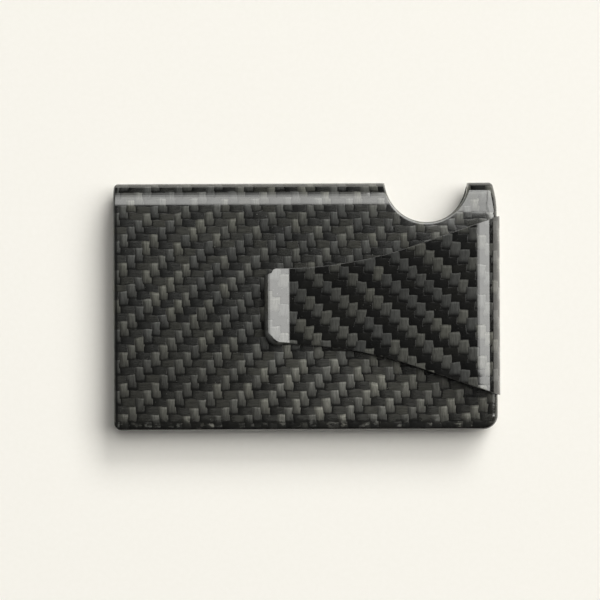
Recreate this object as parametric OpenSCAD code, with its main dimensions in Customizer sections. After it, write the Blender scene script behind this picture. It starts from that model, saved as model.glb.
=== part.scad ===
// Card sleeve with a sprung money clip, moulded from carbon twill laminate.
// It lies on its back. X runs from the open mouth to the closed end, Y runs towards the rolled long
// edge with the thumb notch, and Z points out of the front face. Millimetres.
// The origin is the middle of the whole footprint, on the surface that the back rests on.

/* [Sleeve] */
// Length from the mouth to the closed end
sleeve_len = 91.6; // [91:0.2:96]
// Width from the straight long edge to the rolled one
sleeve_wid = 59.0; // [58.4:0.2:62]
// Thickness over both walls
sleeve_h = 7.0; // [6.8:0.2:9]
// Thickness of the moulded laminate
wall = 0.9; // [0.7:0.1:1.1]
// How far in from the rolled edge the faces start to curve
fold_run = 5.4; // [4.6:0.2:7]
// Rounding along the straight long edge
edge_r = 0.8; // [0.4:0.1:1.2]
// Rounding of the closed end into the two faces
end_r = 1.6; // [1.6:0.1:1.8]

/* [Sleeve corners, seen from the front] */
// Corner of the closed end and the straight edge
closed_corner_r = 3.5; // [2:0.1:5]
// Corner of the mouth and the straight edge
mouth_corner_r = 2.2; // [1:0.1:3]
// Both corners on the rolled edge
fold_corner_r = 1.1; // [0.95:0.05:2]
// Gentle curve that draws the closed end in beside the rolled edge
ear_curve_r = 23; // [18:1:40]
// Length of the closed end's side that the gentle curve takes up
ear_curve_run = 7; // [4:0.5:8]

/* [Thumb notch] */
// Radius of the half-round notch
notch_r = 9.9; // [8:0.05:10.5]
// Distance of its centre from the closed end
notch_from_end = 16.9; // [16:0.1:20]
// How far its centre lies outside the rolled edge
notch_out = 0.35; // [0:0.05:2]

/* [Inside] */
// Depth of the block in the closed end
end_block_len = 3.6; // [2:0.2:4.4]
// Thickness of the joining strips inside the two long edges
strip_t = 0.5; // [0.3:0.1:0.6]
// Height of the joining strips
strip_h = 3.0; // [2:0.2:4]
// How far the strips stay back from the mouth
strip_setback = 1.5; // [0.5:0.5:5]

/* [Clip] */
// Thickness of the clip's leaf
clip_t = 0.6; // [0.6:0.1:1]
// Thickness of the adhesive under its leg
bond_t = 0.05; // [0.05:0.05:0.2]
// Outside radius of the bend at the closed end
bend_r = 6.1; // [4.5:0.1:6.1]
// Room for notes under the top of the bend
note_gap = 3.4; // [3.4:0.1:5]
// Width of the leaf at the closed end
root_wid = 42.8; // [38:0.2:46]
// Width of the leaf at its tip
tip_wid = 18.1; // [14:0.1:22]
// Radius of the concave flare between the two widths
flare_r = 99; // [80:1:130]
// Distance from the closed end to the start of the flare
flare_from_end = 51.9; // [48:0.1:54]
// Distance from the closed end to the crease where the lip turns up
crease_from_end = 49.5; // [44:0.1:50]
// Radius of that crease on the lip's side
crease_r = 2; // [1:0.1:4]
// Angle at which the lip stands up from the front face
lip_angle = 14; // [6:1:30]
// Length of the flat part of the lip
lip_len = 5.7; // [3:0.1:8]
// Corner of the tip on the rolled edge's side
tip_corner_upper_r = 1.2; // [0.6:0.1:3]
// Corner of the tip on the straight edge's side
tip_corner_lower_r = 2.5; // [0.6:0.1:4]
// How far the leg stops above the back face
leg_lift = 0.6; // [0.2:0.1:2]
// Corner radius at the foot of the leg
leg_corner_r = 2; // [0.5:0.1:4]
// Clearance between the crease and the front face
crease_gap = 0.1; // [0.05:0.05:0.3]
// Clearance across the line where the blade flexes
flex_gap = 0.1; // [0.05:0.05:0.3]

/* [Hidden] */

laminate_colour = "#2b2b29";
clip_colour = "#232321";
strip_colour = "#1d1d1c";
bond_colour = "#4a4a44";

arc_steps = 10;          // straight runs in each rounded corner
fold_steps = 32;         // straight runs round the rolled edge
bend_steps = 24;         // straight runs round the clip's bend
flare_steps = 16;        // straight runs along each side's flare
past = 5;                // how far cutting shapes run past what they cut
half_wid = sleeve_wid / 2;
mid_h = sleeve_h / 2;
leaf_stand = bond_t + clip_t;

// Ends of the sleeve, with the clip's leg counted in the footprint
closed_x = (sleeve_len - leaf_stand) / 2;
mouth_x = closed_x - sleeve_len;
leaf_x = closed_x + leaf_stand;
block_x = closed_x - wall - end_block_len;
notch_x = closed_x - notch_from_end;

// The leaf in side view: a bend at the closed end, a straight blade, and a crease with a lip
bend_x = leaf_x - bend_r;
bend_z = sleeve_h + note_gap + clip_t - bend_r;
crease_x = closed_x - crease_from_end;
crease_z = sleeve_h + crease_gap + clip_t + crease_r;
centres_apart = norm([bend_x - crease_x, bend_z - crease_z]);
// Fall of the blade from the bend to the crease: the line that touches both arcs, one on each side
blade_fall = atan2(bend_z - crease_z, bend_x - crease_x) + asin((bend_r + crease_r) / centres_apart);
flex_x = bend_x - bend_r * sin(blade_fall);
flex_z = bend_z + bend_r * cos(blade_fall);
tip_x = crease_x - crease_r * sin(lip_angle) - lip_len * cos(lip_angle);

function on_arc(centre, r, angle) = [centre[0] + r * cos(angle), centre[1] + r * sin(angle)];

function arc(centre, r, from, to, steps) =
    [for (i = [0:steps]) on_arc(centre, r, from + (to - from) * i / steps)];

// Outline of the sleeve from the front, drawn in by inset. The mouth end moves out by reach.
function plan(inset, reach) =
    let (
        right = closed_x - inset,
        left = mouth_x - reach,
        low = inset - half_wid,
        high = half_wid - inset,
        corner = closed_corner_r - inset,
        mouth_corner = mouth_corner_r,
        fold_corner = fold_corner_r - inset,
        ear_r = ear_curve_r - inset,
        ear_y = half_wid - ear_curve_run,
        turn = asin((high - fold_corner - ear_y) / (ear_r - fold_corner)),
        ear_corner = on_arc([right - ear_r, ear_y], ear_r - fold_corner, turn)
    )
    concat(
        arc([left + mouth_corner, low + mouth_corner], mouth_corner, 180, 270, arc_steps),
        arc([right - corner, low + corner], corner, 270, 360, arc_steps),
        arc([right - ear_r, ear_y], ear_r, 0, turn, arc_steps),
        arc(ear_corner, fold_corner, turn, 90, arc_steps),
        arc([left + fold_corner_r, high - fold_corner_r], fold_corner_r, 90, 180, arc_steps)
    );

// Cross-section of the sleeve, drawn in by inset: rounded straight edge, elliptical rolled edge
function section(inset) =
    let (
        low = inset - half_wid,
        r = max(edge_r - inset, 0.3),
        fold_y = half_wid - fold_run,
        run = fold_run - inset,
        rise = mid_h - inset
    )
    concat(
        arc([low + r, sleeve_h - inset - r], r, 90, 180, arc_steps),
        arc([low + r, inset + r], r, 180, 270, arc_steps),
        [for (i = [0:fold_steps])
            let (u = 180 * i / fold_steps - 90)
            [fold_y + run * cos(u), mid_h + rise * sin(u)]]
    );

// Side view of the sleeve, drawn in by inset, with the closed end rounded into both faces
function side(inset, reach) =
    let (right = closed_x - inset, r = max(end_r - inset, 0.3))
    concat(
        arc([right - r, inset + r], r, 270, 360, arc_steps),
        arc([right - r, sleeve_h - inset - r], r, 0, 90, arc_steps),
        [[mouth_x - reach, sleeve_h - inset], [mouth_x - reach, inset]]
    );

// Slope of the leaf's straight sides: the line from the root's corner that touches the flare's arc
flare_run = leaf_x - closed_x + flare_from_end;
flare_rise = (root_wid - tip_wid) / 2;
flare_centre_apart = norm([flare_run, flare_r - flare_rise]);
flare_slope = atan2(flare_run, flare_r - flare_rise) - acos(flare_r / flare_centre_apart);

// One side of the leaf from the front: parallel at the tip, a concave arc, then straight to the root
function leaf_side(sign) =
    let (start_x = closed_x - flare_from_end)
    concat(
        [for (i = [0:flare_steps])
            let (turn = flare_slope * i / flare_steps)
            [start_x + flare_r * sin(turn), sign * (tip_wid / 2 + flare_r * (1 - cos(turn)))]],
        [[leaf_x, sign * root_wid / 2]]
    );

// Outline of the leaf from the front, with its two tip corners
function leaf_plan() =
    let (half = tip_wid / 2, up = tip_corner_upper_r, low = tip_corner_lower_r)
    concat(
        arc([tip_x + up, half - up], up, 180, 90, arc_steps),
        leaf_side(1),
        reverse(leaf_side(-1)),
        arc([tip_x + low, low - half], low, 270, 180, arc_steps)
    );

function reverse(points) = [for (i = [len(points) - 1:-1:0]) points[i]];

// Point on the blade's upper face, at distance back from the flex line towards the tip
function blade_point(back, depth) = [
    flex_x - back * cos(blade_fall) + depth * sin(blade_fall),
    flex_z - back * sin(blade_fall) - depth * cos(blade_fall)
];

module along_x(from, to) {
    translate([from, 0, 0]) rotate([90, 0, 90]) linear_extrude(to - from) children();
}

module across_y(half) {
    translate([0, half, 0]) rotate([90, 0, 0]) linear_extrude(2 * half) children();
}

// The sleeve's shape as one solid, drawn in by inset and run out past the mouth by reach
module sleeve_solid(inset, reach) {
    intersection() {
        translate([0, 0, -past]) linear_extrude(sleeve_h + 2 * past) polygon(plan(inset, reach));
        along_x(mouth_x - reach, closed_x) polygon(section(inset));
        across_y(sleeve_wid) polygon(side(inset, reach));
    }
}

module notch_cut() {
    translate([notch_x, half_wid + notch_out, -past])
        cylinder(r = notch_r, h = sleeve_h + 2 * past, $fn = 96);
}

// Everything between two heights
module slab(low, high) {
    translate([mouth_x - 2 * past, -sleeve_wid, low])
        cube([sleeve_len + 4 * past, 2 * sleeve_wid, high - low]);
}

// Everything between two places along the sleeve
module stretch(from, to) {
    translate([from, -sleeve_wid, -past]) cube([to - from, 2 * sleeve_wid, sleeve_h + 2 * past]);
}

// Half of the hollow sleeve, between two heights
module shell(low, high) {
    difference() {
        intersection() {
            sleeve_solid(0, 0);
            slab(low, high);
        }
        sleeve_solid(wall, past);
        notch_cut();
    }
}

module front_shell() {
    color(laminate_colour) shell(mid_h, sleeve_h + past);
}

module back_shell() {
    color(laminate_colour) shell(-past, mid_h);
}

// Strip that joins the two shells inside the rolled edge, cut through by the notch
module fold_strip() {
    color(strip_colour) difference() {
        intersection() {
            sleeve_solid(wall, 0);
            slab(mid_h - strip_h / 2, mid_h + strip_h / 2);
            stretch(mouth_x + strip_setback, block_x);
            translate([0, half_wid, 0]) cube([2 * sleeve_len, 2 * fold_run, 2 * sleeve_h], center = true);
        }
        sleeve_solid(wall + strip_t, past);
        notch_cut();
    }
}

// Strip that joins the two shells inside the straight edge
module edge_strip() {
    color(strip_colour)
        translate([mouth_x + strip_setback, wall - half_wid, mid_h - strip_h / 2])
            cube([block_x - mouth_x - strip_setback, strip_t, strip_h]);
}

// Block that fills the closed end
module end_block() {
    color(strip_colour) intersection() {
        sleeve_solid(wall, 0);
        stretch(block_x, closed_x);
    }
}

// Adhesive between the closed end's flat face and the clip's leg
module clip_bond() {
    color(bond_colour)
        translate([closed_x, leg_corner_r - root_wid / 2, end_r])
            cube([bond_t, root_wid - 2 * leg_corner_r, min(bend_z, sleeve_h - end_r) - end_r]);
}

module leaf_outline() {
    translate([0, 0, -past]) linear_extrude(2 * sleeve_h + 2 * past) polygon(leaf_plan());
}

// The still part of the leaf: its leg down the closed end, and the bend over the front face
module clip_root() {
    bend_end = 90 + blade_fall;
    outer = arc([bend_x, bend_z], bend_r, 0, bend_end, bend_steps);
    inner = arc([bend_x, bend_z], bend_r - clip_t, bend_end, 0, bend_steps);
    foot = [[leaf_x - clip_t, leg_lift], [leaf_x, leg_lift]];
    low = leg_lift + leg_corner_r;
    side_y = root_wid / 2 - leg_corner_r;
    leg_front = concat(
        arc([-side_y, low], leg_corner_r, 180, 270, arc_steps),
        arc([side_y, low], leg_corner_r, 270, 360, arc_steps),
        [[root_wid / 2, 2 * sleeve_h], [-root_wid / 2, 2 * sleeve_h]]
    );
    color(clip_colour) intersection() {
        across_y(root_wid) polygon(concat(foot, outer, inner));
        leaf_outline();
        along_x(flex_x - past, leaf_x + past) polygon(leg_front);
    }
}

// The part that lifts: the blade down to the crease, and the turned-up lip
module clip_blade() {
    from = 270 + blade_fall;
    to = 270 - lip_angle;
    upper = arc([crease_x, crease_z], crease_r, from, to, arc_steps);
    lower = arc([crease_x, crease_z], crease_r + clip_t, to, from, arc_steps);
    tip = [tip_x, crease_z - crease_r * cos(lip_angle) + lip_len * sin(lip_angle)];
    tip_under = tip + clip_t * [-sin(lip_angle), -cos(lip_angle)];
    color(clip_colour) intersection() {
        across_y(root_wid) polygon(concat(
            [blade_point(flex_gap, clip_t), blade_point(flex_gap, 0)], upper, [tip, tip_under], lower));
        leaf_outline();
    }
}

front_shell();
back_shell();
fold_strip();
edge_strip();
end_block();
clip_bond();
clip_root();
clip_blade();
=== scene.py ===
import math

import bpy
import numpy as np
from mathutils.geometry import delaunay_2d_cdt
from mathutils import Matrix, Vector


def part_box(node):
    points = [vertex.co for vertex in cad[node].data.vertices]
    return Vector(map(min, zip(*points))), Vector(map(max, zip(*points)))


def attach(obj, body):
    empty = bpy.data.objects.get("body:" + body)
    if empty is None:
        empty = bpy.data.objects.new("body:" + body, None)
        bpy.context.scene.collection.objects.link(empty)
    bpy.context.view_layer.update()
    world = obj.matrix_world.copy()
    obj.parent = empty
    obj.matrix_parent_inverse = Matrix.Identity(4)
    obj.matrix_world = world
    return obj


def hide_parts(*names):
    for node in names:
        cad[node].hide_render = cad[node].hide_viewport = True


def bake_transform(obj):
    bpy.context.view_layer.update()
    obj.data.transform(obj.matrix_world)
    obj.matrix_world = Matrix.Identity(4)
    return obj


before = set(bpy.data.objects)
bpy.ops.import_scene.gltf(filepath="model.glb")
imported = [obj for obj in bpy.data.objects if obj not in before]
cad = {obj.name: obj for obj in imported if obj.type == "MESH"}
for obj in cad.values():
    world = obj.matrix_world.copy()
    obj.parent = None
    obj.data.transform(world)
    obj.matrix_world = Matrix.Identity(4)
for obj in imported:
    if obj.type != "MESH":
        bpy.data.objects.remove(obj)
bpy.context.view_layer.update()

# ---------------------------------------------------------------- sizes, in millimetres
MM = 0.001
QUARTER = math.pi / 2


def box_mm(node):
    low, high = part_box(node)
    return np.array(low) / MM, np.array(high) / MM


SHELL_LOW, SHELL_HIGH = box_mm("front_shell")
ROOT_LOW, ROOT_HIGH = box_mm("clip_root")
BLOCK_HIGH = box_mm("end_block")[1]

MOUTH_X, CLOSED_X = SHELL_LOW[0], SHELL_HIGH[0]
HALF_WID = SHELL_HIGH[1]
MID_H, SLEEVE_H = SHELL_LOW[2], SHELL_HIGH[2]
WALL = CLOSED_X - BLOCK_HIGH[0]

FOLD_RUN = 5.4             # how far in from the rolled edge the face starts to curve
EDGE_RUN = 0.8             # rounding along the straight long edge
END_RUN = 1.65             # rounding at the closed end
INNER_RUN = 0.3            # rounding along the straight long edge, inside
CLOSED_CORNER_R = 3.5      # corners in plan
MOUTH_CORNER_R = 2.2
FOLD_CORNER_R = 1.1
EAR_CURVE_R = 23.0         # gentle curve of the closed end beside the rolled edge
EAR_CURVE_RUN = 7.0
EAR_RUN = 7.5              # the same run on the ear, where the curve starts lower and is fuller
EAR_FULL = 2.6             # power of that curve: 2 is an ellipse
EAR_HUB_IN = 3.75          # the point that the ear's stations fan out from, in from the closed end
EAR_HUB_DOWN = 1.6         # and below the start of the ear's curve
NOTCH_R = 9.9
NOTCH_X = CLOSED_X - 16.9
NOTCH_Y = HALF_WID + 0.35

NOTCH_ROUND = 0.62         # rounding of the laminate's cut edges
MOUTH_ROUND = 0.5
SEAM_ROUND = 0.09
INNER_ROUND = 0.14
LEAST_ROUND = 0.08         # of the mouth's cut edge, at its two corners

CLIP_T = 0.6
LEAF_X = ROOT_HIGH[0]
BEND_R = 6.1
BEND_X = LEAF_X - BEND_R
BEND_Z = ROOT_HIGH[2] - BEND_R
LEG_LOW = ROOT_LOW[2]
ROOT_HALF = ROOT_HIGH[1]
TIP_HALF = 9.05
FLARE_R = 99.0
FLARE_X = CLOSED_X - 51.9
CREASE_X = CLOSED_X - 49.5
CREASE_R = 2.0
CREASE_GAP = 0.1           # between the leaf and the front face, under the crease
CREASE_Z = SLEEVE_H + CREASE_GAP + CLIP_T + CREASE_R
LIP_ANGLE = math.radians(14)
LIP_LEN = 5.7


# ---------------------------------------------------------------- laminate sheets
class Sheet:
    """Both faces of a laminate, point for point: outer and inner places, and the cloth's own coordinates."""

    def __init__(self):
        self.outer, self.inner, self.cloth, self.faces = [], [], [], []
        self.up_outer, self.up_inner = {}, {}

    def add(self, outer, inner, cloth):
        self.outer.append(outer)
        self.inner.append(inner)
        self.cloth.append(cloth)
        return len(self.outer) - 1

    def grid(self, rows, columns, place):
        """Adds a grid of points, where place(i, j) gives (outer, inner, cloth)."""
        ids = np.zeros((rows, columns), int)
        for i in range(rows):
            for j in range(columns):
                ids[i, j] = self.add(*place(i, j))
        for i in range(rows - 1):
            for j in range(columns - 1):
                self.faces.append((ids[i, j], ids[i, j + 1], ids[i + 1, j + 1], ids[i + 1, j]))
        return ids


def unit(v):
    return v / np.maximum(np.linalg.norm(v, axis=-1, keepdims=True), 1e-12)


def point_normals(points, faces):
    """Area-weighted normals of the points of a face list."""
    normals = np.zeros_like(points)
    for f in faces:
        p = points[list(f)]
        n = np.cross(p[2] - p[0], (p[3] if len(f) == 4 else p[2]) - p[1])
        for k in f:
            normals[k] += n
    return unit(normals)


def rim_offsets(points, normals, widths):
    """How far each point of a closed loop moves to reach the cut edge. widths has one entry per side."""
    sides = np.roll(points, -1, axis=0) - points
    side_up = unit(normals + np.roll(normals, -1, axis=0))
    out = unit(np.cross(unit(sides), side_up))
    before, after = np.roll(out, 1, axis=0), out
    width_before, width_after = np.roll(widths, 1), widths
    cosine = np.sum(before * after, axis=1)
    mean = unit(before + after)
    reach = (width_before + width_after) / 2 / np.maximum(np.sum(mean * after, axis=1), 0.6)
    corner = cosine < 0.6
    move = np.where(
        corner[:, None],
        before * width_before[:, None] + after * width_after[:, None],
        mean * reach[:, None],
    )
    depth = np.where(corner, np.minimum(width_before, width_after), (width_before + width_after) / 2)
    return move, depth


def make_solid(name, sheet, loop, outer_widths, inner_widths, share, reshape=None, steps=6, flat_steps=3):
    """Closes a sheet into a solid: both faces, and a rounded rim along the loop of its edge.
    share is the rim's depth over its width at each point; reshape puts points of the flat cut in place."""
    outer, inner = np.array(sheet.outer, float), np.array(sheet.inner, float)
    cloth = np.array(sheet.cloth, float)
    up_outer = point_normals(outer, sheet.faces)
    up_inner = -point_normals(inner, sheet.faces)
    for k, n in sheet.up_outer.items():
        up_outer[k] = n
    for k, n in sheet.up_inner.items():
        up_inner[k] = n
    count = len(outer)
    loop = np.array(loop)
    share = np.broadcast_to(share, loop.shape)[:, None]
    move_o, depth_o = rim_offsets(outer[loop], up_outer[loop], outer_widths)
    move_i, depth_i = rim_offsets(inner[loop], -up_inner[loop], inner_widths)
    rings, ring_normals = [], []
    for k in range(1, steps + 1):
        turn = QUARTER * k / steps
        drop = depth_o[:, None] * share * (1 - math.cos(turn))
        rings.append(outer[loop] + move_o * math.sin(turn) - up_outer[loop] * drop)
        ring_normals.append(unit(up_outer[loop] * math.cos(turn) + unit(move_o) * share * math.sin(turn)))
    last_ring = len(rings) - 1
    inner_rings, inner_normals = [], []
    for k in range(steps, 0, -1):
        turn = QUARTER * k / steps
        drop = depth_i[:, None] * (1 - math.cos(turn))
        inner_rings.append(inner[loop] + move_i * math.sin(turn) - up_inner[loop] * drop)
        inner_normals.append(unit(up_inner[loop] * math.cos(turn) + unit(move_i) * math.sin(turn)))
    for k in range(1, flat_steps + 1):
        way = k / (flat_steps + 1)
        ring = rings[last_ring] * (1 - way) + inner_rings[0] * way
        rings.append(reshape(ring) if reshape else ring)
        ring_normals.append(unit(ring_normals[last_ring] * (1 - way) + inner_normals[0] * way))
    rings += inner_rings
    ring_normals += inner_normals
    points = np.vstack([outer, inner, *rings])
    normals = np.vstack([up_outer, up_inner, *ring_normals])
    size = len(loop)
    ids = [loop] + [2 * count + r * size + np.arange(size) for r in range(len(rings))] + [loop + count]
    faces = [tuple(f) for f in sheet.faces] + [tuple(k + count for k in reversed(f)) for f in sheet.faces]
    for a, b in zip(ids, ids[1:]):
        for k in range(size):
            m = (k + 1) % size
            faces.append((a[m], a[k], b[k], b[m]))
    uv = np.vstack([cloth, cloth] + [cloth[loop]] * len(rings))
    cut = np.zeros(len(points))
    for r in range(len(rings)):
        cut[2 * count + r * size: 2 * count + (r + 1) * size] = (r + 1) / (len(rings) + 1)
    return make_mesh(name, points, faces, normals, uv, cut)


def make_mesh(name, points, faces, normals, uv, cut=None):
    """A mesh in metres from points in millimetres, with its shading normals and its cloth coordinates."""
    mesh = bpy.data.meshes.new(name)
    faces = [tuple(int(k) for k in f) for f in faces]
    mesh.from_pydata([tuple(p * MM) for p in points], [], faces)
    layer = mesh.uv_layers.new(name="cloth")
    index = np.zeros(len(mesh.loops), int)
    mesh.loops.foreach_get("vertex_index", index)
    layer.data.foreach_set("uv", uv[index].astype(np.float32).ravel())
    if cut is not None:
        attribute = mesh.attributes.new("cut", "FLOAT", "POINT")
        attribute.data.foreach_set("value", cut.astype(np.float32))
    mesh.validate(verbose=False)
    mesh.shade_smooth()
    if normals is not None:
        mesh.normals_split_custom_set_from_vertices([tuple(n) for n in normals])
    mesh.update()
    obj = bpy.data.objects.new(name, mesh)
    bpy.context.scene.collection.objects.link(obj)
    return obj


# ---------------------------------------------------------------- the two shells
LEVELS = 28                # steps from the flat face down to the parting line
STRAIGHT_STEPS = 55        # steps along the straight long edge
FACE_STEP = 2.2            # spacing of the points inside the flat face


def profile(run, drop, height, full=2.0):
    """Places down a rounded edge: a quarter of a superellipse run by drop, then straight down to height."""
    turn = np.linspace(0, QUARTER, 240)
    across, down = run * np.sin(turn) ** (2 / full), drop * (1 - np.cos(turn).clip(0) ** (2 / full))
    if height > drop:
        across, down = np.append(across, run), np.append(down, height)
    length = np.concatenate([[0], np.cumsum(np.hypot(np.diff(across), np.diff(down)))])
    end = np.interp(height, down, length)
    at = np.linspace(0, end, LEVELS + 1)
    return np.interp(at, length, across), np.interp(at, length, down), at


def ear_outline(inset):
    """Points of the outline round the ear, from the closed end to the rolled edge."""
    right, high = CLOSED_X - inset, HALF_WID - inset
    radius, corner = EAR_CURVE_R - inset, FOLD_CORNER_R - inset + 0.001
    start_y = HALF_WID - EAR_CURVE_RUN
    turn = math.asin((high - corner - start_y) / (radius - corner))
    curve = [(right - radius + radius * math.cos(a), start_y + radius * math.sin(a))
             for a in np.linspace(0, turn, 14)]
    cx = right - radius + (radius - corner) * math.cos(turn)
    cy = high - corner
    curve += [(cx + corner * math.cos(a), cy + corner * math.sin(a))
              for a in np.linspace(turn, QUARTER, 12)[1:]]
    return curve, (CLOSED_X - EAR_HUB_IN, HALF_WID - EAR_RUN - EAR_HUB_DOWN)


def rim_path(inset):
    """Stations round the turned-down edge from the mouth's straight side to the rolled edge by the notch.
    Each is (flat point, edge point, drop, power of the curve)."""
    edge_run = EDGE_RUN if inset == 0 else INNER_RUN
    end_run = END_RUN - inset
    half = HALF_WID - inset
    closed = CLOSED_X - inset
    full = SLEEVE_H - inset - MID_H
    corner = CLOSED_CORNER_R - inset
    centre = np.array([closed - corner, corner - half])
    stations = []
    for x in np.linspace(MOUTH_X, centre[0], STRAIGHT_STEPS + 1):
        stations.append(((x, edge_run - half), (x, -half), edge_run))
    for a in np.linspace(-QUARTER, 0, 15)[1:]:
        share = (a + QUARTER) / QUARTER
        run = edge_run + (end_run - edge_run) * share
        way = np.array([math.cos(a), math.sin(a)])
        stations.append((centre + (corner - run) * way, centre + corner * way, run))
    outline, hub = ear_outline(inset)
    hub = np.array(hub)
    for y in np.linspace(centre[1], hub[1], 34)[1:]:
        stations.append(((closed - end_run, y), (closed, y), end_run))
    turn_r = closed - end_run - hub[0]
    for point in outline + [(hub[0], half)]:
        point = np.array(point)
        way = unit(point - hub)
        share = math.atan2(way[1], way[0]) / QUARTER
        smooth = share * share * (3 - 2 * share)
        flat_r = turn_r + (HALF_WID - EAR_RUN - hub[1] - turn_r) * smooth
        stations.append((hub + flat_r * way, point, end_run + (full - end_run) * smooth,
                         2 + (EAR_FULL - 2) * smooth))
    return [(np.array(s[0], float), np.array(s[1], float), s[2], s[3] if len(s) > 3 else 2.0)
            for s in stations], hub[0]


def mouth_start(y):
    """Where the mouth's cut edge lies at distance y across, with its two rounded corners."""
    low, high = -HALF_WID + MOUTH_CORNER_R, HALF_WID - FOLD_CORNER_R
    if y < low:
        return MOUTH_X + MOUTH_CORNER_R - math.sqrt(max(MOUTH_CORNER_R ** 2 - (y - low) ** 2, 0))
    if y > high:
        return MOUTH_X + FOLD_CORNER_R - math.sqrt(max(FOLD_CORNER_R ** 2 - (y - high) ** 2, 0))
    return MOUTH_X


def mouth_rounding(y, full):
    """Rounding of the mouth's cut edge: full along its straight part, and fine at its two corners."""
    low = (y + HALF_WID - 0.3) / (MOUTH_CORNER_R - 0.3)
    high = (HALF_WID - 0.1 - y) / FOLD_CORNER_R
    return LEAST_ROUND + (full - LEAST_ROUND) * min(max(min(low, high), 0), 1)


def notch_side(y, radius, sign):
    return NOTCH_X + sign * math.sqrt(radius ** 2 - (NOTCH_Y - y) ** 2)


def face_points(inset):
    """One face of a shell: the rim's block and its cloth, the left fold's block and its cloth, and the lines
    where the flat face meets the notch and the mouth."""
    notch_round = NOTCH_ROUND if inset == 0 else INNER_ROUND
    mouth_round = MOUTH_ROUND if inset == 0 else INNER_ROUND
    seam_round = SEAM_ROUND if inset == 0 else INNER_ROUND / 2
    top = SLEEVE_H - inset
    height = top - MID_H - seam_round
    half = HALF_WID - inset
    radius = NOTCH_R + notch_round
    stations, hub_x = rim_path(inset)
    block, cloth = [], []
    for flat, edge, drop, power in stations:
        across, down, length = profile(np.linalg.norm(edge - flat), drop, height, power)
        way = unit(edge - flat)
        block.append([np.array([*(flat + way * a), top - d]) for a, d in zip(across, down)])
        cloth.append([flat + way * s for s in length])
    # The straight edge's lines start on the mouth's cut, corners included
    last = STRAIGHT_STEPS
    for k in range(LEVELS + 1):
        y = block[0][k][1]
        start = mouth_start(y) + mouth_rounding(y, mouth_round)
        end = block[last][k][0]
        for i in range(last):
            x = start + (end - start) * i / last
            block[i][k][0] = x
            cloth[i][k] = np.array([x, cloth[i][k][1]])

    def fold_rows(run, power, starts, ends, shares):
        """Lines across the rolled edge, at shares of the way from starts(y) to ends(y)."""
        across, down, length = profile(half - HALF_WID + run, top - MID_H, height, power)
        ys = HALF_WID - run + across
        starts, ends = [starts(y) for y in ys], [ends(y) for y in ys]
        rows, rows_cloth = [], []
        for share in shares:
            xs = [a + (b - a) * share for a, b in zip(starts, ends)]
            rows.append([np.array([x, y, top - d]) for x, y, d in zip(xs, ys, down)])
            rows_cloth.append([np.array([x, HALF_WID - run + s]) for x, s in zip(xs, length)])
        return rows, rows_cloth

    # The rolled edge: from the ear to the notch, and from the notch to the mouth
    rows, rows_cloth = fold_rows(EAR_RUN, EAR_FULL, lambda y: hub_x, lambda y: notch_side(y, radius, 1),
                                 np.linspace(0, 1, 13)[1:])
    block += rows
    cloth += rows_cloth
    left_block, left_cloth = fold_rows(FOLD_RUN, 2.0, lambda y: notch_side(y, radius, -1),
                                       lambda y: mouth_start(y) + mouth_rounding(y, mouth_round),
                                       np.linspace(0, 1, 50))
    begin = math.asin((NOTCH_Y - HALF_WID + EAR_RUN) / radius)
    finish = math.asin((NOTCH_Y - HALF_WID + FOLD_RUN) / radius)
    arc_turns = np.linspace(begin, math.pi - finish, 60)[1:-1]
    arc = [np.array([NOTCH_X + radius * math.cos(a), NOTCH_Y - radius * math.sin(a), top]) for a in arc_turns]
    mouth_ys = np.concatenate([
        np.linspace(HALF_WID - FOLD_RUN, -HALF_WID + MOUTH_CORNER_R, 30)[1:],
        np.linspace(-HALF_WID + MOUTH_CORNER_R, block[0][0][1], 6)[1:-1],
    ])
    mouth_line = [np.array([mouth_start(y) + mouth_rounding(y, mouth_round), y, top]) for y in mouth_ys]
    return block, cloth, left_block, left_cloth, arc, mouth_line


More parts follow.
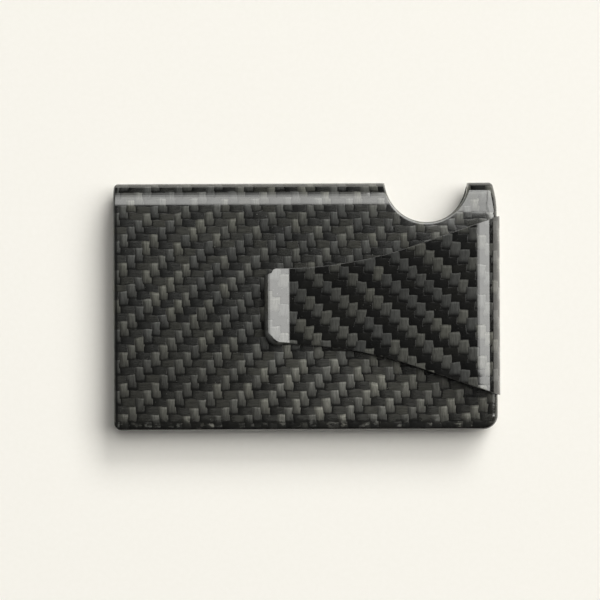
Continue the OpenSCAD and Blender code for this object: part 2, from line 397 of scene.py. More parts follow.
def shell_sheet():
    """The front shell as a sheet, with the loop of its edge and the rounding of each side of that loop."""
    rim_out, rim_cloth, fold_out, fold_cloth, arc_out, mouth_out = face_points(0)
    rim_in, _, fold_in, _, arc_in, mouth_in = face_points(WALL)
    sheet = Sheet()
    rim = sheet.grid(len(rim_out), LEVELS + 1,
                     lambda i, k: (rim_out[i][k], rim_in[i][k], rim_cloth[i][k]))
    left = sheet.grid(len(fold_out), LEVELS + 1,
                      lambda i, k: (fold_out[i][k], fold_in[i][k], fold_cloth[i][k]))
    arc = [sheet.add(o, i, o[:2]) for o, i in zip(arc_out, arc_in)]
    mouth = [sheet.add(o, i, o[:2]) for o, i in zip(mouth_out, mouth_in)]
    # The flat face, bounded by the first line of each block
    border = [*rim[:, 0], *arc, *left[:, 0], *mouth]
    edge_points = [sheet.outer[k][:2] for k in border]
    flat_low, flat_high = np.min(edge_points, axis=0), np.max(edge_points, axis=0)
    step = FACE_STEP
    inside = []
    poly = np.array(edge_points)
    for x in np.arange(flat_low[0] + step / 2, flat_high[0], step):
        for y in np.arange(flat_low[1] + step / 2, flat_high[1], step):
            if np.min(np.hypot(poly[:, 0] - x, poly[:, 1] - y)) > step * 0.45 and inside_polygon(poly, x, y):
                inside.append((x, y))
    top = sheet.outer[border[0]][2]
    ids = list(border) + [sheet.add(np.array([x, y, top]), np.array([x, y, top - WALL]), np.array([x, y]))
                          for x, y in inside]
    flat_2d = [tuple(float(c) for c in sheet.outer[k][:2]) for k in ids]
    got = delaunay_2d_cdt(flat_2d, [], [list(range(len(border)))], 1, 1e-6)
    origin = [o[0] if o else None for o in got[3]]
    for f in got[2]:
        triangle = [ids[origin[k]] for k in f]
        a, b, c = (np.array(sheet.outer[k][:2]) for k in triangle)
        if (b[0] - a[0]) * (c[1] - a[1]) - (b[1] - a[1]) * (c[0] - a[0]) < 0:
            triangle.reverse()
        sheet.faces.append(tuple(triangle))
    up = np.array([0, 0, 1.0])
    for k in ids:
        sheet.up_outer[k] = up
        sheet.up_inner[k] = -up
    # The loop runs with the material on its left, seen from outside
    seam_rim = list(rim[:, LEVELS])
    notch = list(rim[-1, LEVELS:0:-1]) + [rim[-1, 0]] + arc + list(left[0, :LEVELS])
    seam_left = list(left[:, LEVELS])
    mouth_side = list(left[-1, LEVELS - 1::-1]) + mouth + list(rim[0, :LEVELS])
    loop = seam_rim + notch[1:] + seam_left + mouth_side
    kinds = (["seam"] * (len(seam_rim) - 1) + ["notch"] * len(notch)
             + ["seam"] * (len(seam_left) - 1) + ["mouth"] * (len(mouth_side) + 1))
    widths_o, widths_i = [], []
    for k, kind in enumerate(kinds):
        y = (sheet.outer[loop[k]][1] + sheet.outer[loop[(k + 1) % len(loop)]][1]) / 2
        across = {"seam": SEAM_ROUND, "notch": NOTCH_ROUND, "mouth": mouth_rounding(y, MOUTH_ROUND)}[kind]
        widths_o.append(across)
        widths_i.append(min(across, INNER_ROUND))
    return sheet, loop, kinds, np.array(widths_o), np.array(widths_i)


def inside_polygon(poly, x, y):
    xs, ys = poly[:, 0], poly[:, 1]
    xn, yn = np.roll(xs, -1), np.roll(ys, -1)
    crosses = ((ys > y) != (yn > y)) & (x < (xn - xs) * (y - ys) / np.where(yn == ys, 1e-9, yn - ys) + xs)
    return bool(np.sum(crosses) % 2)


def flip_sheet(sheet):
    """The same sheet turned over for the back shell."""
    back = Sheet()
    turn = np.array([1, 1, -1.0])
    lift = np.array([0, 0, 2 * MID_H])
    back.outer = [p * turn + lift for p in sheet.outer]
    back.inner = [p * turn + lift for p in sheet.inner]
    back.cloth = list(sheet.cloth)
    back.faces = [tuple(reversed(f)) for f in sheet.faces]
    back.up_outer = {k: n * turn for k, n in sheet.up_outer.items()}
    back.up_inner = {k: n * turn for k, n in sheet.up_inner.items()}
    return back


def mouth_places(on_mouth):
    """A reshaper that puts the marked points of a ring on the mouth's cut, corners included."""
    def reshape(ring):
        ring = ring.copy()
        for k in np.nonzero(on_mouth)[0]:
            ring[k, 0] = mouth_start(np.clip(ring[k, 1], -HALF_WID, HALF_WID))
        return ring
    return reshape


front_sheet, edge_loop, edge_kinds, rim_outer, rim_inner = shell_sheet()
mouth_sides = np.array([kind == "mouth" for kind in edge_kinds])
mouth_points = mouth_sides | np.roll(mouth_sides, 1)
KIND_SHARE = {"seam": 0.75, "notch": 0.48, "mouth": 0.55}
edge_share = np.array([KIND_SHARE[kind] for kind in edge_kinds])
front_laminate = make_solid("front_laminate", front_sheet, edge_loop, rim_outer, rim_inner, edge_share,
                            mouth_places(mouth_points))
back_laminate = make_solid("back_laminate", flip_sheet(front_sheet), edge_loop[::-1],
                           np.roll(rim_outer[::-1], -1), np.roll(rim_inner[::-1], -1), edge_share[::-1],
                           mouth_places(mouth_points[::-1]))
for shell_piece, shell_node in ((front_laminate, "front_shell"), (back_laminate, "back_shell")):
    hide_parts(shell_node)
    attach(shell_piece, "sleeve")


# ---------------------------------------------------------------- the clip's leaf
TIP_CORNER_UP = 1.2
FOOT_CORNER = 2.0
TIP_ROUND = 1.8            # wide hand-finished rounding of the lip's end
SIDE_ROUND = 0.14
LOW_ROUND = 0.8            # rounding of the lower side beside the lip, which fades along LOW_ROUND_LEN
LOW_ROUND_LEN = 8.0
TIP_SWEEP = 2.1            # corner of the lip's flat face on the lower side
FOOT_ROUND = 0.22
UNDER_ROUND = 0.12         # rounding of the leaf's edges on its hidden face
SIDE_SHARE = 0.8           # depth of the rounding over its width, at the sides
TIP_SHARE = 0.24           # and at the lip's end
CORNER_STEPS = 12          # sides of the tip's loop over which its rounding narrows
LEG_STEPS, BEND_STEPS, BLADE_STEPS, CREASE_STEPS = 8, 40, 52, 12    # points along the leaf's parts
FLARE_RUN = LEAF_X - FLARE_X
FLARE_RISE = ROOT_HALF - TIP_HALF
FLARE_SLOPE = math.atan2(FLARE_RUN, FLARE_R - FLARE_RISE) - math.acos(
    FLARE_R / math.hypot(FLARE_RUN, FLARE_R - FLARE_RISE))
BLADE_FALL = math.atan2(BEND_Z - CREASE_Z, BEND_X - CREASE_X) + math.asin(
    (BEND_R + CREASE_R) / math.hypot(BEND_X - CREASE_X, BEND_Z - CREASE_Z))


def leaf_half(x):
    """Half the leaf's width at x: parallel at the tip, a concave arc, then straight to the root."""
    if x < FLARE_X:
        return TIP_HALF
    if x < FLARE_X + FLARE_R * math.sin(FLARE_SLOPE):
        return TIP_HALF + FLARE_R - math.sqrt(FLARE_R ** 2 - (x - FLARE_X) ** 2)
    return ROOT_HALF - (LEAF_X - x) * math.tan(FLARE_SLOPE)


def leaf_stations():
    """The leaf's outer line in side view, from the leg's foot to the lip, as (x, z, angle of the normal),
    and the length along it up to each point."""
    foot = LEG_LOW + FOOT_ROUND
    corner = FOOT_CORNER - FOOT_ROUND
    line = [(LEAF_X, foot + corner * (1 - math.cos(a)), 0.0) for a in np.linspace(0, QUARTER, LEG_STEPS)]
    line += [(LEAF_X, z, 0.0) for z in np.linspace(foot + corner, BEND_Z, LEG_STEPS)[1:]]
    end = QUARTER + BLADE_FALL
    line += [(BEND_X + BEND_R * math.cos(a), BEND_Z + BEND_R * math.sin(a), a)
             for a in np.linspace(0, end, BEND_STEPS)[1:]]
    start = np.array(line[-1][:2])
    stop = np.array([CREASE_X - CREASE_R * math.cos(end), CREASE_Z - CREASE_R * math.sin(end)])
    line += [(*(start + (stop - start) * t), end) for t in np.linspace(0, 1, BLADE_STEPS)[1:]]
    line += [(CREASE_X - CREASE_R * math.cos(a), CREASE_Z - CREASE_R * math.sin(a), a)
             for a in np.linspace(end, QUARTER - LIP_ANGLE, CREASE_STEPS)[1:]]
    start = np.array(line[-1][:2])
    heading = np.array([-math.cos(LIP_ANGLE), math.sin(LIP_ANGLE)])
    corner = TIP_SWEEP
    reach = LIP_LEN - TIP_ROUND
    steps = list(np.linspace(0, reach - corner, 7)[1:])
    steps += [reach - corner * (1 - math.sin(a)) for a in np.linspace(0, QUARTER, 12)[1:]]
    line += [(*(start + heading * t), QUARTER - LIP_ANGLE) for t in steps]
    places = np.array(line)
    gone = np.concatenate([[0], np.cumsum(np.hypot(np.diff(places[:, 0]), np.diff(places[:, 1])))])
    return places, gone


def corner_inset(distance, radius):
    """How far a rounded corner draws an edge in, at a distance from the end."""
    if radius <= 0 or distance >= radius:
        return 0.0
    return radius - math.sqrt(max(radius ** 2 - (radius - distance) ** 2, 0))


def leaf_sheet():
    """The clip's leaf as a sheet, with the loop of its edge and the rounding of each side of that loop."""
    places, gone = leaf_stations()
    total = gone[-1]
    columns = 40
    middle = len(places) // 2
    shift = places[middle, 0] + gone[middle]
    low, high, low_round = [], [], []
    for (x, z, turn), s in zip(places, gone):
        lean = math.cos(FLARE_SLOPE if x > 0 else 0)
        foot = corner_inset(s, FOOT_CORNER - FOOT_ROUND) if z < BEND_Z else 0
        left = total - s
        low_round.append(SIDE_ROUND + (LOW_ROUND - SIDE_ROUND) * min(max(1 - left / LOW_ROUND_LEN, 0), 1))
        low.append(-leaf_half(x) + low_round[-1] / lean + foot + corner_inset(left, TIP_SWEEP))
        high.append(leaf_half(x) - SIDE_ROUND / lean - foot - corner_inset(left, TIP_CORNER_UP - SIDE_ROUND))
    sheet = Sheet()

    def place(i, j):
        x, z, turn = places[i]
        y = low[i] + (high[i] - low[i]) * j / columns
        way = np.array([math.cos(turn), 0, math.sin(turn)])
        outer = np.array([x, y, z])
        return outer, outer - way * CLIP_T, np.array([shift - gone[i], y])

    ids = sheet.grid(len(places), columns + 1, place)
    for i in range(len(places)):
        way = np.array([math.cos(places[i, 2]), 0, math.sin(places[i, 2])])
        for j in range(columns + 1):
            sheet.up_outer[ids[i, j]] = way
            sheet.up_inner[ids[i, j]] = -way
    foot_side, tip_side = list(ids[0]), list(ids[-1, ::-1])
    high_side, low_side = list(ids[1:-1, -1]), list(ids[-2:0:-1, 0])
    loop = foot_side + high_side + tip_side + low_side
    rows = len(places)
    widths = ([FOOT_ROUND] * columns + [SIDE_ROUND] * (rows - 1) + [TIP_ROUND] * columns
              + list(reversed(low_round[1:])))
    # Towards the lower corner the rounding narrows from the tip's to the side's
    for k in range(CORNER_STEPS):
        way = k / CORNER_STEPS
        widths[columns + rows - 1 + columns + k] = TIP_ROUND + (low_round[-1] - TIP_ROUND) * way
    return sheet, loop, np.array(widths)


clip_sheet, clip_loop, clip_widths = leaf_sheet()
clip_share = np.interp(np.maximum(clip_widths, np.roll(clip_widths, 1)),
                       [SIDE_ROUND, TIP_ROUND], [SIDE_SHARE, TIP_SHARE])
clip_leaf = make_solid("clip_leaf", clip_sheet, clip_loop, clip_widths,
                       np.minimum(clip_widths, UNDER_ROUND), clip_share)
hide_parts("clip_root", "clip_blade")
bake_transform(clip_leaf)


# ---------------------------------------------------------------- materials
class Graph:
    """Short ways to add and link shader nodes."""

    def __init__(self, name):
        self.material = bpy.data.materials.new(name)
        self.material.use_nodes = True
        self.nodes = self.material.node_tree.nodes
        self.links = self.material.node_tree.links
        self.shader = self.nodes["Principled BSDF"]

    def put(self, socket, value):
        if isinstance(value, bpy.types.NodeSocket):
            self.links.new(value, socket)
        else:
            socket.default_value = value

    def set(self, **values):
        for name, value in values.items():
            self.put(self.shader.inputs[name.replace("_", " ")], value)

    def math(self, operation, a, b=0.0, c=0.0, clamp=False):
        node = self.nodes.new("ShaderNodeMath")
        node.operation = operation
        node.use_clamp = clamp
        for socket, value in zip(node.inputs, (a, b, c)):
            self.put(socket, value)
        return node.outputs[0]

    def smooth(self, value, low, high, out_low=0.0, out_high=1.0):
        node = self.nodes.new("ShaderNodeMapRange")
        node.interpolation_type = "SMOOTHSTEP"
        for name, v in (("Value", value), ("From Min", low), ("From Max", high),
                        ("To Min", out_low), ("To Max", out_high)):
            self.put(node.inputs[name], v)
        return node.outputs[0]

    def mix(self, share, a, b):
        """Mixes two numbers."""
        node = self.nodes.new("ShaderNodeMix")
        self.put(node.inputs[0], share)
        self.put(node.inputs[2], a)
        self.put(node.inputs[3], b)
        return node.outputs[0]

    def mix_colour(self, share, a, b, blend_type="MIX"):
        node = self.nodes.new("ShaderNodeMix")
        node.data_type = "RGBA"
        node.blend_type = blend_type
        self.put(node.inputs[0], share)
        self.put(node.inputs[6], a)
        self.put(node.inputs[7], b)
        return node.outputs[2]

    def vector(self, x, y, z=0.0):
        node = self.nodes.new("ShaderNodeCombineXYZ")
        for socket, value in zip(node.inputs, (x, y, z)):
            self.put(socket, value)
        return node.outputs[0]

    def split(self, vector):
        node = self.nodes.new("ShaderNodeSeparateXYZ")
        self.put(node.inputs[0], vector)
        return node.outputs

    def noise(self, vector, scale, detail=2.0, roughness=0.5, colour=False):
        node = self.nodes.new("ShaderNodeTexNoise")
        self.put(node.inputs["Vector"], vector)
        self.put(node.inputs["Scale"], scale)
        self.put(node.inputs["Detail"], detail)
        self.put(node.inputs["Roughness"], roughness)
        return node.outputs["Color" if colour else "Fac"]

    def chance(self, vector):
        """A random number and a random colour for each whole-numbered place."""
        node = self.nodes.new("ShaderNodeTexWhiteNoise")
        node.noise_dimensions = "3D"
        self.put(node.inputs["Vector"], vector)
        return node.outputs["Value"], node.outputs["Color"]

    def bump(self, height, distance, strength=1.0, normal=None):
        node = self.nodes.new("ShaderNodeBump")
        node.inputs["Distance"].default_value = distance
        node.inputs["Strength"].default_value = strength
        self.put(node.inputs["Height"], height)
        if normal is not None:
            self.put(node.inputs["Normal"], normal)
        return node.outputs[0]

    def cloth(self):
        node = self.nodes.new("ShaderNodeUVMap")
        node.uv_map = "cloth"
        return node.outputs[0]

    def attribute(self, name):
        node = self.nodes.new("ShaderNodeAttribute")
        node.attribute_name = name
        return node.outputs["Fac"]

    def object_place(self):
        return self.nodes.new("ShaderNodeTexCoord").outputs["Object"]


WANDER_SLOW = 1.2          # how far the tows wander in long waves, in millimetres
WANDER_FAST = 0.9          # and in short ones
SPREAD = 0.13              # how far the bright floats spread over their neighbours, in columns
RESIN_AND_SHADE_BLACK = 0.003              # black of resin, and of painted shadow and shade


class Weave:
    """Places on 2 by 2 twill, as sockets, from the cloth's own coordinates in millimetres."""

    def __init__(self, g, cloth, flat, pitch, rising, swell, offset):
        slow = g.split(g.noise(flat, 0.045, 1.0, colour=True))
        fast = g.split(g.noise(flat, 0.33, 1.0, colour=True))

        def wandering(value, k):
            value = g.math("ADD", value, g.math("MULTIPLY", g.math("SUBTRACT", slow[k], 0.5), WANDER_SLOW))
            return g.math("ADD", value, g.math("MULTIPLY", g.math("SUBTRACT", fast[k], 0.5), WANDER_FAST))

        u = g.math("ADD", g.math("DIVIDE", wandering(cloth[0], 0), pitch[0]), 1000 + offset[0])
        v = g.math("ADD", g.math("DIVIDE", wandering(cloth[1], 1), pitch[1]), 1000 + offset[1])
        v = g.math("ADD", v, g.math("MULTIPLY", g.math("MULTIPLY", cloth[1], cloth[1]), swell))
        row, part_v = g.math("FLOOR", v), g.math("FRACT", v)
        # Place along the repeat of four columns: the first two have the tow along Y on top
        run = g.math("SUBTRACT", g.math("ADD", row, 1.0), u) if rising else g.math("ADD", row, u)
        run = g.math("SUBTRACT", g.math("FLOORED_MODULO", g.math("ADD", run, SPREAD), 4.0), SPREAD)
        beat = g.math("GREATER_THAN", run, 1.0)              # which of the two columns
        if rising:
            start = g.math("ADD", u, run)
            warp_column = g.math("ROUND", g.math("SUBTRACT", g.math("SUBTRACT", start, 1.0), beat))
            self.weft_along = g.math("DIVIDE", g.math("SUBTRACT", 4.0, run), 2.0)
            self.paired = beat
        else:
            start = g.math("SUBTRACT", u, run)
            warp_column = g.math("ROUND", g.math("ADD", start, beat))
            self.weft_along = g.math("DIVIDE", g.math("SUBTRACT", run, 2.0), 2.0)
            self.paired = g.math("SUBTRACT", 1.0, beat)
        # warp is 1 where the tow along Y is on top; paired is 1 where the float on its right is like it
        self.warp = g.math("LESS_THAN", run, 2.0 + SPREAD)
        column = g.mix(self.warp, g.math("FLOOR", u), warp_column)
        diagonal = g.math("SUBTRACT", row, column) if rising else g.math("ADD", row, column)
        self.repeat = g.math("FLOOR", g.math("DIVIDE", diagonal, 4.0))
        self.tow = g.mix(self.warp, row, column)
        # Place along each float, 0 to 1, and across each tow, -1 to 1
        self.warp_along = g.math("DIVIDE", g.math("ADD", beat, part_v), 2.0)
        part_u = g.math("SUBTRACT", u, warp_column)
        self.warp_across = g.math("SUBTRACT", g.math("MULTIPLY", part_u, 2.0), 1.0)
        self.weft_across = g.math("SUBTRACT", g.math("MULTIPLY", part_v, 2.0), 1.0)
        self.along = g.mix(self.warp, self.weft_along, self.warp_along)
        self.across = g.mix(self.warp, self.weft_across, self.warp_across)


def fibre_streaks(g, cloth, warp):
    """Fine streaks along whichever tow is on top."""
    across, along = 3.0, 0.35
    warp_place = g.vector(g.math("MULTIPLY", cloth[0], across), g.math("MULTIPLY", cloth[1], along))
    weft_place = g.vector(g.math("MULTIPLY", cloth[0], along), g.math("MULTIPLY", cloth[1], across), 5.0)
    return g.mix(warp, g.noise(weft_place, 1.0, 4.0, 0.75), g.noise(warp_place, 1.0, 4.0, 0.75))


def float_relief(g, weave):
    """Height of a float: a flattened arch across, dipping under its neighbours at both ends."""
    side = g.math("POWER", g.math("ABSOLUTE", weave.across), 3.0)
    arch = g.math("SUBTRACT", 1.0, g.math("MULTIPLY", side, g.mix(weave.warp, 0.3, 0.7)))
    dip = g.math("POWER", g.math("SINE", g.math("MULTIPLY", weave.along, math.pi)), 0.45)
    return g.math("MULTIPLY", arch, g.math("ADD", 0.25, g.math("MULTIPLY", dip, 0.75)))


def resin_and_shadow_gaps(g, weave, chance, shift):
    """Black resin between tows, with painted shadow at the right of each bright float, under its foot, and
    where the dark ones begin.
    """
    side_gap = g.smooth(g.math("ADD", weave.warp_across, g.math("MULTIPLY", chance, 0.12)), 0.84, 1.0)
    warp_gap = g.math("MAXIMUM", g.math("MULTIPLY", side_gap, g.math("MULTIPLY", weave.paired, 0.8)),
                      g.smooth(shift, 0.02, 0.2, 0.9, 0.0))
    weft_gap = g.math("MAXIMUM", g.smooth(weave.weft_along, SPREAD / 2, SPREAD / 2 + 0.15, 0.95, 0.0),
                      g.smooth(g.math("ABSOLUTE", weave.weft_across), 0.80, 1.0, 0.0, 0.45))
    return g.mix(weave.warp, weft_gap, warp_gap)


def painted_sleeve_sheen(g, cloth, level):
    """The sleeve's painted sheen: lighter towards the straight edge, and lighter still in a broad patch below
    the clip."""
    level = g.math("MULTIPLY", level, g.smooth(cloth[1], 10.0, -24.0, 0.98, 1.12))
    painted_sheen_patch = g.math("MULTIPLY", g.smooth(cloth[0], -20.0, -2.0), g.smooth(cloth[0], 42.0, 20.0))
    painted_sheen_patch = g.math("MULTIPLY", painted_sheen_patch, g.smooth(cloth[1], -5.0, -17.0))
    return g.math("MULTIPLY", level, g.math("ADD", 1.0, g.math("MULTIPLY", painted_sheen_patch, 0.32)))


def sleeve_marks(g, cloth, cut, level, height):
    """A darker, smooth band round the turned-down edges, smears beside it, and the black line along the
    mouth.
    """
    smear = g.noise(g.vector(g.math("MULTIPLY", cloth[0], 0.5), cloth[1]), 0.9, 3.0, 0.6)
    low_band = g.math("MULTIPLY", g.smooth(cloth[1], 0.5 - HALF_WID, 0.25 - HALF_WID),
                      g.smooth(cloth[1], -HALF_WID - 0.9, -HALF_WID - 0.4))
    end_band = g.math("MULTIPLY", g.smooth(cloth[0], CLOSED_X - 0.75, CLOSED_X - 0.45),
                      g.smooth(cloth[0], CLOSED_X + 1.1, CLOSED_X + 0.6))
    dark_edge_band = g.math("MAXIMUM", low_band, end_band)
    level = g.mix(dark_edge_band, level, g.smooth(smear, 0.3, 0.75, 0.018, 0.06))
    near = g.smooth(cloth[1], 4.0 - HALF_WID, 1.2 - HALF_WID)
    smears = g.math("MULTIPLY", g.smooth(g.math("ADD", smear, g.math("MULTIPLY", near, 0.2)), 0.56, 0.65),
                    g.math("MULTIPLY", near, 0.85))
    level = g.mix(smears, level, 0.004)
    line = g.math("MULTIPLY", g.smooth(cloth[0], MOUTH_X + 1.15, MOUTH_X + 0.75), g.smooth(cut, 0.1, 0.02))
    level = g.mix(g.math("MULTIPLY", line, 0.85), level, RESIN_AND_SHADE_BLACK)
    return level, g.mix(dark_edge_band, height, g.math("MULTIPLY", smear, 0.5))


def twill(name, pitch, lean, warp_level, weft_level, edge_level, painted_left_shade, painted_light_end,
          swell=0.0, offset=(0.0, 0.0), sleeve=True):
    """Clear-coated 2 by 2 carbon twill. pitch is the width of a column and of a row, and lean is +1 for
    diagonals that rise to the right and -1 for ones that fall. The levels are shades of bright floats, dark
    floats and cut edges. painted_left_shade is the painted shade on each bright float's left side,
    painted_light_end is where along it the painted highlight is full, and swell is how much the rows open out
    towards the straight edge."""
    g = Graph(name)
    cloth = g.split(g.cloth())
    flat = g.vector(cloth[0], cloth[1])
    weave = Weave(g, cloth, flat, pitch, lean > 0, swell, offset)
    warp = weave.warp
    # Chance: one number and tint for each float, one number for each tow
    float_value, float_tint = g.chance(g.vector(weave.tow, weave.repeat, g.math("MULTIPLY", warp, 7.0)))
    tow_value = g.chance(g.vector(weave.tow, 31.0, g.math("MULTIPLY", warp, 5.0)))[0]
    chance = g.math("SUBTRACT", float_value, 0.5)
    streak = fibre_streaks(g, cloth, warp)
    height = float_relief(g, weave)
    # Tows along Y get a painted highlight that is brightest at the top end, a painted highlight line on the
    # fold last of all, and painted shade on their left side
    shift = g.math("ADD", weave.warp_along, g.math("MULTIPLY", chance, 0.12))
    warp_painted_light = g.smooth(shift, 0.05, painted_light_end, 0.42, 1.1)
    fold = g.math("MULTIPLY", g.smooth(shift, 0.84, 0.90), g.smooth(shift, 0.94, 0.99, 1.0, 0.0))
    warp_painted_light = g.math("ADD", warp_painted_light, g.math("MULTIPLY", fold, 0.42))
    warp_painted_light = g.math("MULTIPLY", warp_painted_light, g.smooth(weave.warp_across, -1.1, -0.05, painted_left_shade, 1.08))
    # Tows along X stay dark, with painted light that grows towards the end that meets the next bright float
    weft_shift = g.math("ADD", weave.weft_along, g.math("MULTIPLY", chance, 0.3))
    weft_painted_light = g.smooth(weft_shift, 0.0, 0.55, 0.4, 1.1)
    level = g.mix(warp, g.math("MULTIPLY", weft_painted_light, weft_level), g.math("MULTIPLY", warp_painted_light, warp_level))
    variety = g.math("ADD", 0.68, g.math("MULTIPLY", float_value, 0.5))
    variety = g.math("ADD", variety, g.math("MULTIPLY", tow_value, 0.16))
    level = g.math("MULTIPLY", level, variety)
    level = g.math("MULTIPLY", level, g.smooth(streak, 0.28, 0.72, 0.6, 1.4))
    level = g.math("MULTIPLY", level, g.smooth(g.noise(flat, 0.035, 1.0), 0.3, 0.7, 0.85, 1.15))
    # Painted sheen across the sleeve
    if sleeve:
        level = painted_sleeve_sheen(g, cloth, level)
    # Resin gaps, darkened further as painted shadow
    resin_and_shadow_gap = resin_and_shadow_gaps(g, weave, chance, shift)
    level = g.mix(resin_and_shadow_gap, level, RESIN_AND_SHADE_BLACK)
    # Tint: mostly neutral, some floats olive
    tint = g.mix_colour(g.smooth(g.split(float_tint)[0], 0.2, 1.0),
                        (0.99, 1.01, 0.97, 1), (1.01, 1.01, 0.88, 1))
    rough = g.mix(resin_and_shadow_gap, g.smooth(streak, 0.2, 0.8, 0.34, 0.44), 0.5)
    # Cut edges: sanded plies under the coat, with fine lines along them
    cut = g.attribute("cut")
    edge = g.smooth(cut, 0.02, 0.16)
    along_cut = g.math("MULTIPLY", g.math("ADD", cloth[0], cloth[1]), 0.7)
    ply = g.noise(g.vector(g.math("MULTIPLY", cut, 26.0), along_cut), 1.0, 3.0, 0.7)
    edge_shade = g.math("MULTIPLY", g.smooth(ply, 0.3, 0.7, 0.55, 1.4), edge_level)
    level = g.mix(edge, level, edge_shade)
    rough = g.mix(edge, rough, 0.42)
    height = g.mix(edge, height, g.math("MULTIPLY", ply, 0.6))
    if sleeve:
        level, height = sleeve_marks(g, cloth, cut, level, height)
        # A warmer tint towards the straight edge, the colour of the painted sheen
        sheen_tint = g.mix_colour(g.smooth(cloth[1], -4.0, -22.0), tint, (1.02, 1.0, 0.88, 1))
        tint = g.mix_colour(0.5, tint, sheen_tint)
    # A few pale specks of dust in the coat
    speck = g.math("MULTIPLY", g.smooth(g.noise(flat, 2.4, 1.0, 0.6), 0.735, 0.775),
                   g.smooth(g.noise(flat, 0.12, 1.0), 0.52, 0.62))
    level = g.mix(speck, level, 0.22)
    colour = g.mix_colour(1.0, tint, g.vector(level, level, level), "MULTIPLY")
    # Relief of the cloth under the coat, and the coat's own faint print-through and waviness
    relief = g.math("ADD", height, g.math("MULTIPLY", streak, 0.10))
    under = g.bump(relief, 0.00006, 1.0)
    wave = g.noise(flat, 0.12, 2.0)
    print_through = g.math("ADD", g.math("MULTIPLY", height, 0.05), g.math("MULTIPLY", wave, 0.4))
    over = g.bump(print_through, 0.00007, 1.0)
    tangent = g.nodes.new("ShaderNodeTangent")
    tangent.direction_type = "UV_MAP"
    tangent.uv_map = "cloth"
    g.set(Base_Color=colour, Roughness=rough, Normal=under, Metallic=0.3, Specular_IOR_Level=0.12)
    g.set(Anisotropic=0.75, Anisotropic_Rotation=g.math("MULTIPLY", warp, 0.25), Tangent=tangent.outputs[0])
    g.set(Coat_Weight=1.0, Coat_Roughness=0.06, Coat_IOR=1.9, Coat_Normal=over)
    return g


def plain(name, colour, roughness, grain, relief, coat=0.0):
    """A plain moulded surface with a fine grain."""
    g = Graph(name)
    place = g.object_place()
    speckle = g.noise(place, grain, 3.0, 0.6)
    patch = g.noise(place, grain / 12, 2.0)
    level = g.math("MULTIPLY", g.smooth(speckle, 0.3, 0.7, 0.8, 1.2), g.smooth(patch, 0.3, 0.7, 0.88, 1.12))
    shade = g.mix_colour(1.0, (*colour, 1), g.vector(level, level, level), "MULTIPLY")
    g.set(Base_Color=shade, Roughness=g.smooth(speckle, 0.3, 0.7, roughness - 0.06, roughness + 0.06),
          Normal=g.bump(speckle, relief, 1.0), Coat_Weight=coat)
    return g


SLEEVE_CLOTH = dict(pitch=(1.86, 1.772), warp_level=0.078, weft_level=0.028, edge_level=0.17,
                    painted_left_shade=0.5, painted_light_end=0.85, swell=0.00075)
CLIP_CLOTH = dict(pitch=(2.03, 1.77), warp_level=0.053, weft_level=0.006, edge_level=0.04,
                  painted_left_shade=0.86, painted_light_end=0.4, offset=(0.3, 0.6), sleeve=False)
sleeve_twill = twill("sleeve_twill", lean=1, **SLEEVE_CLOTH)
back_twill = twill("back_twill", lean=-1, **SLEEVE_CLOTH)
clip_twill = twill("clip_twill", lean=-1, **CLIP_CLOTH)
strip_black = plain("strip_black", (0.022, 0.022, 0.021), 0.55, 2600, 0.00003)
block_black = plain("block_black", (0.026, 0.026, 0.025), 0.5, 1900, 0.00004)
resin_black = plain("resin_black", (0.018, 0.018, 0.018), 0.25, 900, 0.00002, coat=1.0)


def finish_with(obj, graph):
    obj.data.materials.clear()
    obj.data.materials.append(graph.material)


for piece, finish in ((front_laminate, sleeve_twill), (back_laminate, back_twill), (clip_leaf, clip_twill)):
    finish_with(piece, finish)
for node, finish in (("front_shell", sleeve_twill), ("back_shell", back_twill), ("clip_root", clip_twill),
                     ("clip_blade", clip_twill), ("fold_strip", strip_black), ("edge_strip", strip_black),
                     ("end_block", block_black), ("clip_bond", resin_black)):
    finish_with(cad[node], finish)


# ---------------------------------------------------------------- floor, light and camera
def add_floor():
    side = 3.0
    points = np.array([[-side, -side, 0], [side, -side, 0], [side, side, 0], [-side, side, 0]]) / MM
    floor = make_mesh("floor", points, [(0, 1, 2, 3)], None, points[:, :2])
    g = Graph("floor_cream")
    grain = g.noise(g.object_place(), 900.0, 3.0)
    shade = g.mix_colour(g.smooth(grain, 0.3, 0.7), (0.948, 0.924, 0.878, 1), (0.958, 0.934, 0.89, 1))
    g.set(Base_Color=shade, Roughness=0.85, Specular_IOR_Level=0.0)
    finish_with(floor, g)


WARM_WHITE = (1.0, 0.997, 0.962)    # colour of the softbox
PANEL_UP = 6.0             # height of the softbox above the floor, in metres


def add_panel(name, left, right, low, high, lean, radiance, glossy=True):
    """One rectangle of the softbox, level and facing down. The four sides are in metres per metre of height,
    and lean turns it about its lower left corner, in degrees. One that isn't glossy lights things but isn't
    mirrored."""
    width, length = (right - left) * PANEL_UP, (high - low) * PANEL_UP
    data = bpy.data.lights.new(name, "AREA")
    data.shape = "RECTANGLE"
    data.size, data.size_y = width, length
    data.energy = radiance * math.pi * width * length
    data.color = WARM_WHITE
    lamp = bpy.data.objects.new(name, data)
    bpy.context.scene.collection.objects.link(lamp)
    lean = math.radians(lean)
    lamp.location = (left * PANEL_UP + math.cos(lean) * width / 2 - math.sin(lean) * length / 2,
                     low * PANEL_UP + math.sin(lean) * width / 2 + math.cos(lean) * length / 2, PANEL_UP)
    lamp.rotation_euler = (0, 0, lean)
    lamp.visible_camera = False
    lamp.visible_glossy = glossy


add_floor()
SOFTBOX = 3.4              # radiance of the softbox at full brightness
EAR_LEFT = 0.075           # the part of the softbox that only the ear beside the notch mirrors
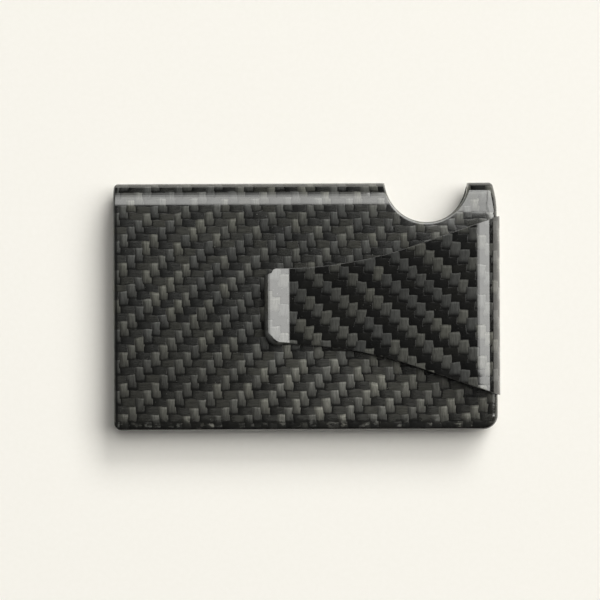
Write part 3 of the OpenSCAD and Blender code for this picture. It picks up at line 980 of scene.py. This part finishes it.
# Name, left, right, low, high, lean, brightness, and whether shiny surfaces mirror it
PANELS = (
    ("softbox_near", 0.19, 0.34, -0.045, 1.13, -2.5, 0.62, True),
    ("softbox_right", 0.34, 2.3, -0.052, 1.13, -2.5, 1.03, True),
    ("softbox_far", 0.3, 1.6, 1.13, 2.5, -2.5, 3.62, False),
    ("softbox_ear", EAR_LEFT, 0.19, 0.057, 0.66, 0, 0.85, True),
    ("softbox_ear_top", EAR_LEFT, 0.19, 0.66, 1.13, 0, 1.0, True),
    ("softbox_soft", 0.135, 0.19, -0.045, 0.057, 0, 0.3, True),
)
for name, left, right, low, high, lean, share, glossy in PANELS:
    add_panel(name, left, right, low, high, lean, SOFTBOX * share, glossy)
# The softbox's left part fades in and out in steps: each is where one starts and its brightness
TOP_LEFT = -0.195
TOP_STEPS = ((0.078, 0.2), (0.094, 0.36), (0.115, 0.52), (0.145, 0.7), (0.19, 0.82), (0.66, 0.5), (0.9, 0.18),
             (1.3, 0))
for (low, share), (high, _) in zip(TOP_STEPS, TOP_STEPS[1:]):
    add_panel("softbox_top", TOP_LEFT, EAR_LEFT, low, high, 0, SOFTBOX * share)

world = bpy.data.worlds.new("studio")
world.use_nodes = True
room = world.node_tree.nodes["Background"]
room.inputs["Color"].default_value = (1.0, 0.97, 0.93, 1)
room.inputs["Strength"].default_value = 0.02
bpy.context.scene.world = world

CAMERA_UP = 0.4            # camera's height above the sleeve's top, in metres
FIELD = 142.857 * MM       # width of the view at the sleeve's top
SIDE_SHIFT, UP_SHIFT = -1.69 * MM, 1.5 * MM
TILT = math.radians(-0.25)
camera_data = bpy.data.cameras.new("camera")
camera_data.sensor_fit = "HORIZONTAL"
camera_data.angle = 2 * math.atan(FIELD / 2 / CAMERA_UP)
camera_data.clip_start = 0.01
camera = bpy.data.objects.new("camera", camera_data)
camera.location = (SIDE_SHIFT, UP_SHIFT, CAMERA_UP + SLEEVE_H * MM)
camera.rotation_euler = (0, 0, TILT)
bpy.context.scene.collection.objects.link(camera)
bpy.context.scene.camera = camera
bpy.context.scene.view_settings.view_transform = "Standard"
